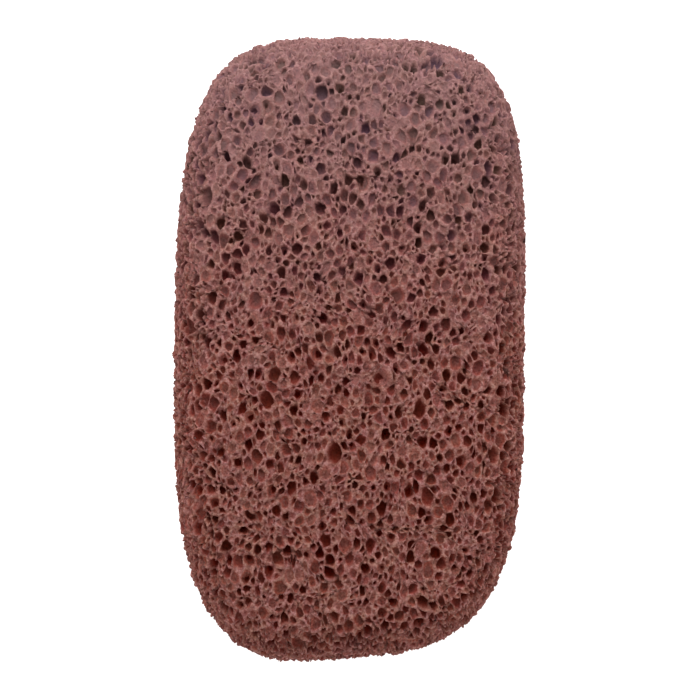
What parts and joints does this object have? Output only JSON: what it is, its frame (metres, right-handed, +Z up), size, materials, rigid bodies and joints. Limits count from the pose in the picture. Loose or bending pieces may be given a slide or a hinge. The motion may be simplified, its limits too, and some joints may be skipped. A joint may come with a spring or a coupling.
{
  "type": "pumice stone",
  "caption": "Rounded block of open-pored pumice with a flat back and a gently crowned working face, for rubbing hard skin off feet and hands.",
  "frame": {"origin": "middle of the stone's plan box, on the surface that its flat back rests on", "axes": "+Y along the stone's length, towards its squarer end; +Z up through its thickness, from the flat back to the crowned face; X across its width"},
  "size_m": [0.0561, 0.1, 0.036],
  "materials": {
    "pumice": "rough, open-pored, dry brick-red stone"
  },
  "bodies": {
    "root": {"pumice_stone": "pumice"}
  },
  "joints": []
}
